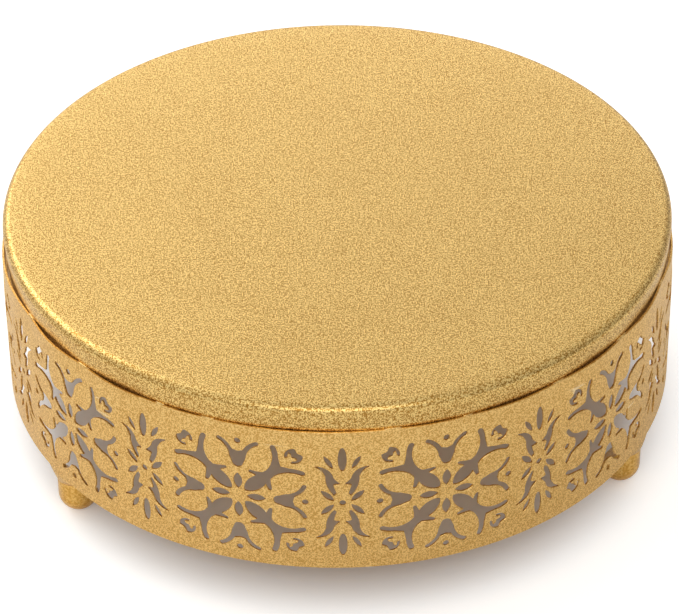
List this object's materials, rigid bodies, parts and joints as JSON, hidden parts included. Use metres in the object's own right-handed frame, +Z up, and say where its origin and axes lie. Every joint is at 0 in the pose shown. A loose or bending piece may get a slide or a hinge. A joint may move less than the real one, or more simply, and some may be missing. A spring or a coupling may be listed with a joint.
{
  "type": "cake stand",
  "caption": "Low round cake stand: a flat rimless plate on a pierced metal band with ball feet, for showing and serving cakes and small bakes.",
  "frame": {"origin": "on the table under the middle of the plate, at the bottom of the feet", "axes": "+Z up through the plate's top face, -Y towards the front, +X to the right as seen from the front"},
  "size_m": [0.2054, 0.2054, 0.075],
  "materials": {
    "plate_gold": "satin gold coat with a fine metallic grain",
    "band_gold": "satin gold coat",
    "foot_gold": "glossier gold coat",
    "weld_gold": "satin gold coat over weld"
  },
  "bodies": {
    "root": {"top_plate": "plate_gold", "pierced_band": "band_gold", "band_seam_weld": "band_gold", "rim_tack_welds": "weld_gold", "foot_left": "foot_gold", "foot_right": "foot_gold", "foot_back": "foot_gold", "foot_welds": "weld_gold"}
  },
  "joints": []
}
